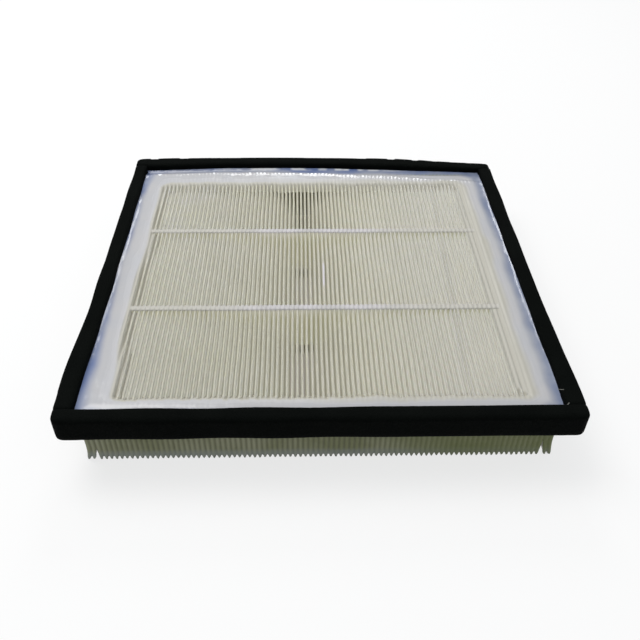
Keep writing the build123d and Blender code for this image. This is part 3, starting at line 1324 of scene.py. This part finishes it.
@dataclass
class PouredBorder:
    """Poured melt between foam and pleats: a wavy lip that sinks into the gaps, and a skirt."""

    sizes: PanelSizes
    name: str = "hot_melt_border"
    gap: float = 0.05
    corner_blend: Pair = (-4.0, 4.0)
    inner_reach: float = 6.5
    film_left_x: float = -138.6
    film_right_x: float = 135.0
    front_rounding: float = 4.0
    rear_rounding: float = 10.0
    rear_lip: float = 2.0
    side_wander: float = 1.1
    front_wander: float = 0.45
    tongue: float = 2.0
    tongue_place: Pair = (38.0, 5.0)
    lines_per_pleat: int = 6
    front_zone: float = 12.0
    front_step: float = 1.0
    middle_step: float = 4.0
    rear_zone: float = 7.0
    rear_step: float = 0.9
    bow_shares: tuple[float, ...] = (0.2, 0.4, 0.6, 0.8, 1.0)
    lip_thickness: float = 0.35
    slow_wave: float = 0.16
    fast_wave: float = 0.05
    wall_climb: float = 0.6
    climb_reach: float = 0.9
    trough: float = 0.45
    trough_place: Pair = (4.6, 3.2)
    ridge: float = 0.42
    ridge_wander: float = 0.1
    ridge_reach: float = 2.6
    ridge_in_gaps: float = 0.42
    rear_drop: float = 1.3
    drop_zone: Pair = (0.4, 4.5)
    drop_by_wall: Pair = (0.5, 3.0)
    drop_held_by_pack: float = 0.9
    pack_edge: Pair = (-0.4, 0.6)
    fold_print: float = 0.13
    print_zone: Pair = (0.35, 0.85)
    sink: float = 4.6
    sink_start: float = -2.6
    sink_end: float = 6.0
    gap_dip: float = 1.1
    # What a side lip takes off the sink and adds to the dip
    left_change: Pair = (3.4, 1.4)
    right_change: Pair = (3.7, -0.4)
    glint_start: Pair = (-92.0, -66.0)
    glint_end: Pair = (136.0, 146.0)
    glint_fading: Pair = (30.0, 75.0)
    glint_loss: float = 0.3
    glint_in_gaps: float = 0.35
    glint_line: float = -0.2
    glint_width: float = 1.7
    glint_narrowing: float = 0.6
    spot_place: Pair = (-0.5, 1.5)
    # X, width and strength of the two bright spots at the left
    glint_spots: tuple[tuple[float, float, float], ...] = ((-151.0, 1.8, 0.95), (-98.5, 1.3, 0.8))
    # X and Y of the line behind which the melt falls off
    ridge_places: tuple[Pair, ...] = (
        (-164.0, 147.0), (-150.0, 149.0), (-83.0, 152.5), (-4.0, 150.7),
        (60.0, 145.5), (133.0, 137.5), (164.0, 134.0),
    )
    # Y and X of the left lip's inner edge
    left_places: tuple[Pair, ...] = (
        (-160.0, -142.0), (-130.0, -143.2), (-55.0, -147.4),
        (50.0, -145.0), (120.0, -146.8), (150.0, -146.0),
    )

    def __post_init__(self) -> None:
        """Draws the reach of the lip in each gap, the strength of each glint and the waves."""
        draw = random.Random(5)
        self.gap_draws = [draw.uniform(-0.6, 0.6) for _ in range(41)]
        self.glint_draws = [draw.uniform(0.3, 1.0) for _ in range(self.sizes.pleat_count + 1)]
        self.edge_ripple = Ripple(seed=61, shortest=22, longest=90, height=1.0)
        self.slow = Ripple(seed=62, shortest=35, longest=120, height=1.0)
        self.fast = Ripple(seed=63, shortest=5, longest=14, height=1.0)

    def lines_x(self) -> list[float]:
        """Grid lines across the panel, a few to a pleat, with the pocket's wall doubled.

        Returns:
            Their places from left to right.
        """
        s = self.sizes
        wall = s.inner_right_x - self.gap
        pocket = s.pack_half_width + self.gap
        step = s.pitch / self.lines_per_pleat
        first = math.ceil((s.pack_left_x + 1) / step)
        inner = [k * step for k in range(first, -first + 1)]
        inner = [x for x in inner if abs(x) < pocket - 0.2]
        return [-wall, -pocket - WALL_STEP, -pocket, *inner, pocket, pocket + WALL_STEP, wall]

    def lines_y(self) -> list[float]:
        """Straight grid lines along the panel, closer together over the front and rear lips.

        Returns:
            Their places from the front foam to just behind the pack.
        """
        s = self.sizes
        front_pocket = s.pack_front_y - POCKET_DEPTH
        rear_pocket = s.pack_rear_y + POCKET_DEPTH
        lines = [s.inner_front_y + self.gap, front_pocket - WALL_STEP, front_pocket]
        y = float(math.ceil(front_pocket))
        for limit, step in (
            (s.window_front_y + self.front_zone, self.front_step),
            (s.window_rear_y - self.rear_zone, self.middle_step),
            (rear_pocket - 0.5, self.rear_step),
        ):
            while y < limit:
                lines.append(y)
                y += step
        return [*lines, rear_pocket, rear_pocket + WALL_STEP]

    @staticmethod
    def along(places: tuple[Pair, ...], value: float) -> float:
        """Height of a smooth line through places.

        Args:
            places: Pairs of a value and the line's height there.
            value: Where the line is read.

        Returns:
            The height.
        """
        for (a, low), (b, high) in zip(places, places[1:]):
            if value <= b:
                return low + (high - low) * smooth(a, b, value)
        return places[-1][1]

    def behind_ridge(self, x: float, y: float) -> float:
        """How far a place lies behind the line where the melt falls off toward the rear foam."""
        return y - self.along(self.ridge_places, x)

    def across(self, x: float, y: float) -> float:
        """How far a place lies inside the window from its nearer side."""
        return min(x - self.along(self.left_places, y), self.sizes.window_right_x - x)

    def edge_reach(self, x: float, y: float) -> float:
        """How far a place lies inside the window, past the lip's wandering edge.

        Args:
            x: Place across the panel.
            y: Place along the panel.

        Returns:
            The distance, below 0 on the lip.
        """
        s = self.sizes
        wander = self.edge_ripple.at(x, y)
        across = self.across(x, y) + self.side_wander * wander
        pleat = int((x - s.pack_left_x) / s.pitch)
        count = len(self.gap_draws)
        tongue = self.tongue * bump(*self.tongue_place, x)
        front = y - s.window_front_y - tongue + self.gap_draws[pleat % count]
        rear = s.window_rear_y + self.rear_lip - y + self.gap_draws[(pleat * 7) % count]
        along = min(front, rear) + self.front_wander * wander
        rounding = self.front_rounding if y < 0 else self.rear_rounding
        if across < rounding and along < rounding:
            return rounding - math.hypot(rounding - across, rounding - along)
        return min(across, along)

    def side_share(self, x: float, y: float) -> float:
        """How far a place belongs to a side lip (1) rather than to the front or rear lip (0)."""
        along = min(y - self.sizes.window_front_y, self.sizes.window_rear_y + self.rear_lip - y)
        return smooth(*self.corner_blend, along - self.across(x, y))

    def top_z(self, x: float, y: float, rear_y: float) -> tuple[float, float]:
        """Height of the melt and its share of the way from foam to pleats.

        Args:
            x: Place across the panel.
            y: Place along the panel.
            rear_y: Rear foam wall at that x.

        Returns:
            Height in millimetres, and the share.
        """
        s = self.sizes
        to_side = min(x - s.inner_left_x, s.inner_right_x - x)
        to_wall = max(0.0, min(to_side, y - s.inner_front_y, rear_y - y))
        reach = self.edge_reach(x, y)
        share = to_wall / max(0.5, to_wall + max(0.0, -reach))
        z = s.border_top_z + self.slow_wave * self.slow.at(x, y) + self.fast_wave * self.fast.at(x, y)
        z += self.wall_climb * math.exp(-to_wall / self.climb_reach) * (1 + 0.5 * self.slow.at(y, x))
        z -= self.trough * bump(*self.trough_place, to_wall)
        z += self.fold_print * (s.crest(x) - 0.5) * smooth(*self.print_zone, share)
        z += self.ridge_lift(x, y, rear_y) - self.lip_drop(x, y, reach)
        return z, share

    def ridge_lift(self, x: float, y: float, rear_y: float) -> float:
        """Lift of the rear ridge, and the fall behind it.

        Args:
            x: Place across the panel.
            y: Place along the panel.
            rear_y: Rear foam wall at that x.

        Returns:
            The change of height.
        """
        s = self.sizes
        behind = self.behind_ridge(x, y)
        lift = (self.ridge + self.ridge_wander * self.fast.at(x, 0.0)) * bump(0.0, self.ridge_reach, behind)
        lift *= self.ridge_in_gaps + (1 - self.ridge_in_gaps) * s.crest(x)
        over_pack = 1 - smooth(*self.pack_edge, y - s.pack_rear_y)
        drop = self.rear_drop - self.drop_held_by_pack * over_pack
        drop *= smooth(*self.drop_zone, behind) * smooth(*self.drop_by_wall, rear_y - y)
        return lift - drop

    def lip_drop(self, x: float, y: float, reach: float) -> float:
        """How far the lip has sunk toward the window, most between the folds.

        Args:
            x: Place across the panel.
            y: Place along the panel.
            reach: How far the place lies inside the window.

        Returns:
            The drop.
        """
        aside = self.side_share(x, y)
        sunk = smooth(self.sink_start, self.sink_end + self.sink_start * aside, reach)
        sink_loss, dip_gain = self.left_change if x < 0 else self.right_change
        in_gap = 1 - self.sizes.crest(x)
        deep = (self.sink - sink_loss * aside) * sunk * sunk
        return deep + (self.gap_dip + dip_gain * aside) * sunk * in_gap

    def glint(self, x: float, y: float) -> float:
        """Strength of the painted glints that stand along the rear ridge, one or two to a pleat.

        Args:
            x: Place across the panel.
            y: Place along the panel.

        Returns:
            The strength.
        """
        s = self.sizes
        behind = self.behind_ridge(x, y)
        pleat = int((x - s.pack_left_x) / s.pitch + 0.5)
        fading = smooth(*self.glint_fading, x)
        level = smooth(*self.glint_start, x) * (1 - smooth(*self.glint_end, x))
        level *= (1 - self.glint_loss * fading) * self.glint_draws[pleat % len(self.glint_draws)]
        level *= self.glint_in_gaps + (1 - self.glint_in_gaps) * s.crest(x)
        row = level * bump(self.glint_line, self.glint_width - self.glint_narrowing * fading, behind)
        spots = sum(strength * bump(middle, width, x) for middle, width, strength in self.glint_spots)
        return max(row, spots * bump(*self.spot_place, behind))

    def is_open(self, x: float, y: float) -> bool:
        """Whether a place lies in the window, past the sunken edge of the lip."""
        beside = x < self.film_left_x - 0.01 or x > self.film_right_x + 0.01
        return self.edge_reach(x, y) > self.inner_reach and not beside

    def build(self) -> None:
        """Shapes a grid, removes the window and gives the melt its thickness."""
        s = self.sizes
        xs = self.lines_x()
        ys = self.lines_y()
        bm, table = sheet_grid(len(xs), len(ys) + len(self.bow_shares), "melt_share", "melt_glint")
        share_layer = bm.verts.layers.float["melt_share"]
        glint_layer = bm.verts.layers.float["melt_glint"]
        bottoms: dict[bmesh.types.BMVert, float] = {}
        opened: dict[bmesh.types.BMVert, bool] = {}
        pocket = s.pack_half_width + self.gap + WALL_STEP / 2
        for x, verts in zip(xs, table):
            wall_y = s.inner_rear_y(x)
            bowed = [ys[-1] + (wall_y - self.gap - ys[-1]) * share for share in self.bow_shares]
            for y, vert in zip((*ys, *bowed), verts):
                z, vert[share_layer] = self.top_z(x, y, wall_y)
                vert.co = Vector((x, y, z))
                vert[glint_layer] = self.glint(x, y)
                in_pack = abs(x) < pocket and ys[2] - WALL_STEP / 2 < y < ys[-2] + WALL_STEP / 2
                lip_z = min(z - self.lip_thickness, s.fold_top_z - 0.2)
                bottoms[vert] = lip_z if in_pack else s.skirt_z
                opened[vert] = self.is_open(x, y)
        window = [f for f in bm.faces if all(opened[v] for v in f.verts)]
        bmesh.ops.delete(bm, geom=window, context="FACES")
        lower = {tuple(round(c, 5) for c in v.co): z for v, z in bottoms.items() if v.is_valid}
        grown = bmesh.ops.extrude_face_region(bm, geom=list(bm.faces), use_keep_orig=True)["geom"]
        for vert in (g for g in grown if isinstance(g, bmesh.types.BMVert)):
            vert.co.z = lower[tuple(round(c, 5) for c in vert.co)]
        piece = finish_mesh(bm, self.name + "_pour", smooth_angle=55)
        dress(piece, BorderFinish().material(), "border_melt", self.name)


@dataclass
class GasketStrip:
    """One foam strip: the CAD strip's form, remeshed, softened and gently wavy."""

    node: bpy.types.Object
    seed: int
    voxel: float = 1.3
    waviness: float = 0.3
    graininess: float = 0.04
    plump: float = 0.55
    flat_top: float = 0.35
    left_flare: float = 3.2
    right_flare: float = 2.0
    rear_flare: float = 2.0
    corner_across: Pair = (160.0, 174.0)
    corner_along: Pair = (60.0, 150.0)
    rear_zone: Pair = (160.0, 169.0)
    rear_end: Pair = (60.0, 150.0)

    def build(self) -> None:
        """Copies, softens and dresses the strip."""
        name = self.node.name
        bm = bmesh.new()
        bm.from_mesh(self.node.data)
        bmesh.ops.remove_doubles(bm, verts=bm.verts, dist=0.01 * MM)
        bmesh.ops.scale(bm, vec=(1 / MM,) * 3, verts=bm.verts)
        piece = finish_mesh(bm, name + "_foam")
        remesh = piece.modifiers.new("cells", "REMESH")
        remesh.mode = "VOXEL"
        remesh.voxel_size = self.voxel * MM
        graph = bpy.context.evaluated_depsgraph_get()
        shaped = bpy.data.meshes.new_from_object(piece.evaluated_get(graph))
        piece.modifiers.clear()
        piece.data = shaped
        self.soften(shaped)
        dress(piece, FoamFinish().material(), "gasket_foam", name)

    def flare(self, x: float, y: float) -> Vector:
        """How the soft foam spreads: outward at both front corners and along the rear strip.

        Args:
            x: Place across the panel in millimetres.
            y: Place along the panel in millimetres.

        Returns:
            The move in millimetres.
        """
        at_front_corner = smooth(*self.corner_across, abs(x)) * smooth(*self.corner_along, -y)
        at_rear = smooth(*self.rear_zone, y) * (1 - smooth(*self.rear_end, x))
        outward = -self.left_flare if x < 0 else self.right_flare
        return Vector((at_front_corner * outward, at_rear * self.rear_flare, 0.0))

    def soften(self, mesh: bpy.types.Mesh) -> None:
        """Rounds the edges and lets the faces wander along their normals.

        Args:
            mesh: The remeshed strip, in metres.
        """
        slow = Ripple(self.seed, shortest=32, longest=120, height=self.waviness)
        fine = Ripple(self.seed + 1, shortest=3, longest=8, height=self.graininess)
        bm = bmesh.new()
        bm.from_mesh(mesh)
        for _ in range(2):
            bmesh.ops.smooth_vert(
                bm, verts=bm.verts, factor=0.5, use_axis_x=True, use_axis_y=True, use_axis_z=True
            )
        bm.normal_update()
        moves = []
        for vert in bm.verts:
            x, y, z = vert.co / MM
            swell = self.plump + slow.at(x + z * 0.7, y - z * 0.4) + fine.at(x + 2 * z, y + z)
            if vert.normal.z > 0.7:
                swell = min(swell, self.flat_top)
            moves.append((vert, (vert.normal * swell + self.flare(x, y)) * MM))
        for vert, move in moves:
            vert.co += move
        bm.to_mesh(mesh)
        bm.free()
        mesh.shade_smooth()


@dataclass(frozen=True)
class Fibre:
    """One loose fibre: its name, radius and the points it runs through."""

    name: str
    radius: float
    points: tuple[tuple[float, float, float], ...]

    def build(self) -> None:
        """Makes the fibre from a curve and turns it into a mesh."""
        curve = bpy.data.curves.new(self.name + "_line", "CURVE")
        curve.dimensions = "3D"
        curve.bevel_depth = self.radius * MM
        curve.bevel_resolution = 2
        curve.use_fill_caps = True
        spline = curve.splines.new("NURBS")
        spline.points.add(len(self.points) - 1)
        for point, place in zip(spline.points, self.points):
            point.co = (*(c * MM for c in place), 1.0)
        spline.order_u = 3
        spline.use_endpoint_u = True
        line = bpy.data.objects.new(self.name + "_line", curve)
        mesh = bpy.data.meshes.new_from_object(line)
        bpy.data.objects.remove(line)
        mesh.shade_smooth()
        piece = bpy.data.objects.new(self.name, mesh)
        bpy.context.scene.collection.objects.link(piece)
        dress(piece, LintFinish().material(), "end_film")


@dataclass
class LooseFibres:
    """Lint on the foam and fine fibres by the right corner."""

    fibres: tuple[Fibre, ...] = (
        Fibre("lint_front", radius=0.3, points=(
            (-93.6, -171.2, 45.5), (-92.7, -171.6, 46.4), (-91.4, -171.4, 46.2), (-90.8, -171.1, 45.4),
        )),
        Fibre("fibre_right_1", radius=0.12, points=(
            (161.4, -146.2, 54.9), (164.6, -147.8, 55.5), (167.8, -146.3, 55.5), (168.6, -144.6, 55.3),
        )),
        Fibre("fibre_right_2", radius=0.12, points=(
            (161.5, -160.5, 52.5), (163.6, -161.2, 55.3), (166.8, -158.6, 55.5), (167.0, -155.0, 55.4),
        )),
        Fibre("lint_right", radius=0.22, points=(
            (171.6, -91.2, 55.3), (172.6, -90.3, 55.4), (173.1, -89.0, 55.1),
        )),
    )

    def build(self) -> None:
        """Makes every fibre."""
        for fibre in self.fibres:
            fibre.build()


@dataclass(frozen=True)
class Lamp:
    """A soft square area lamp: its name, place and side in metres, power in watts and colour."""

    name: str
    place: tuple[float, float, float]
    side: float
    watts: float
    colour: tuple[float, float, float]
    aim: tuple[float, float, float] = (0.0, 0.0, 0.03)

    def build(self) -> None:
        """Adds the lamp, turned to its aim."""
        data = bpy.data.lights.new(self.name, "AREA")
        data.shape = "SQUARE"
        data.size = self.side
        data.energy = self.watts
        data.color = self.colour
        lamp = bpy.data.objects.new(self.name, data)
        lamp.location = self.place
        toward = Vector(self.aim) - Vector(self.place)
        lamp.rotation_mode = "QUATERNION"
        lamp.rotation_quaternion = toward.to_track_quat("-Z", "Y")
        bpy.context.scene.collection.objects.link(lamp)


@dataclass
class Studio:
    """Floor, lamps and the camera at the photograph's viewing angle."""

    eye: tuple[float, float, float] = (-13.926, -479.06, 413.578)
    pitch: float = 0.723999
    yaw: float = 0.0362632
    roll: float = -0.0183416
    focal_pixels: float = 719.0826
    image_pixels: float = 640.0
    sensor: float = 36.0
    floor_reach: float = 4000.0
    floor_grey: Colour = srgb(120, 122, 118)
    floor_white: Colour = srgb(254, 254, 254)
    floor_light: float = 0.72
    sky_tint: Colour = (0.93, 0.97, 1.0, 1.0)
    sky_light: float = 0.45
    lamps: tuple[Lamp, ...] = (
        Lamp("key_left", (-0.75, 0.45, 1.75), side=1.1, watts=21.0, colour=(1.0, 0.985, 0.965)),
        Lamp("high_back", (0.0, 1.4, 1.2), side=0.45, watts=4.5, colour=(1.0, 1.0, 1.0)),
        Lamp("fill_front", (0.6, -1.3, 1.6), side=1.2, watts=2.0, colour=(0.95, 0.98, 1.0)),
    )

    def camera(self) -> None:
        """Places the fitted camera."""
        data = bpy.data.cameras.new("camera")
        data.sensor_width = self.sensor
        data.lens = self.focal_pixels * self.sensor / self.image_pixels
        data.clip_start = 0.01
        forward = Vector((
            math.sin(self.yaw) * math.cos(self.pitch),
            math.cos(self.yaw) * math.cos(self.pitch),
            -math.sin(self.pitch),
        ))
        level = Vector((math.cos(self.yaw), -math.sin(self.yaw), 0))
        down = forward.cross(level)
        right = math.cos(self.roll) * level + math.sin(self.roll) * down
        below = -math.sin(self.roll) * level + math.cos(self.roll) * down
        turn = Matrix((right, -below, -forward)).transposed().to_4x4()
        eye = bpy.data.objects.new("camera", data)
        eye.matrix_world = Matrix.Translation(Vector(self.eye) * MM) @ turn
        bpy.context.scene.collection.objects.link(eye)
        bpy.context.scene.camera = eye

    def floor(self) -> None:
        """Makes the white floor, which keeps a soft shadow."""
        bm = bmesh.new()
        bmesh.ops.create_grid(bm, x_segments=4, y_segments=4, size=self.floor_reach)
        floor = finish_mesh(bm, "floor")
        material = bpy.data.materials.new("floor")
        material.use_nodes = True
        kit = NodeKit(material.node_tree)
        shader = material.node_tree.nodes["Principled BSDF"]
        output = material.node_tree.nodes["Material Output"]
        path = kit.add("ShaderNodeLightPath")
        seen = kit.math("MAXIMUM", path.outputs["Is Camera Ray"], path.outputs["Is Glossy Ray"])
        kit.feed(shader.inputs["Base Color"], kit.mix(seen, self.floor_grey, self.floor_white))
        shader.inputs["Roughness"].default_value = 0.9
        shader.inputs["Specular IOR Level"].default_value = 0.0
        glow = kit.add("ShaderNodeEmission")
        glow.inputs["Color"].default_value = WHITE
        blend = kit.add("ShaderNodeMixShader")
        sources = (kit.times(seen, self.floor_light), shader.outputs[0], glow.outputs[0])
        for socket, source in zip(blend.inputs, sources):
            kit.feed(socket, source)
        kit.feed(output.inputs["Surface"], blend.outputs[0])
        floor.data.materials.append(material)

    def world(self) -> None:
        """Sets an even sky that the camera sees as white."""
        world = bpy.data.worlds.new("studio")
        bpy.context.scene.world = world
        world.use_nodes = True
        kit = NodeKit(world.node_tree)
        sky = world.node_tree.nodes["Background"]
        seen = kit.add("ShaderNodeLightPath").outputs["Is Camera Ray"]
        kit.feed(sky.inputs["Color"], kit.mix(seen, self.sky_tint, WHITE))
        level = kit.math("MULTIPLY_ADD", seen, 1 - self.sky_light, self.sky_light)
        kit.feed(sky.inputs["Strength"], level)

    def build(self) -> None:
        """Sets up the whole studio."""
        self.camera()
        self.world()
        self.floor()
        for lamp in self.lamps:
            lamp.build()
        bpy.context.scene.view_settings.view_transform = "Standard"
        LOG.info("studio: camera, sky, floor and %d lamps", len(self.lamps))


def main() -> None:
    """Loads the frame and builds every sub-assembly in order."""
    logging.basicConfig(level=logging.INFO, format="%(name)s: %(message)s")
    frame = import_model()
    sizes = PanelSizes()
    Studio().build()
    PleatedPack(sizes).build()
    for place, row_y in zip(("front", "rear"), sizes.bead_rows):
        SpacerBead(sizes, Side.UPPER, row_y, "upper_bead_" + place).build()
        SpacerBead(sizes, Side.LOWER, row_y, "lower_bead_" + place).build()
    EndFilm(sizes, End.FRONT, "end_seal_front").build()
    EndFilm(sizes, End.REAR, "end_seal_rear").build()
    PouredBorder(sizes).build()
    for seed, place in enumerate(("front", "rear", "left", "right")):
        GasketStrip(frame["nodes"]["gasket_" + place], 500 + 10 * seed).build()
    LooseFibres().build()


if __name__ == "__main__":
    main()
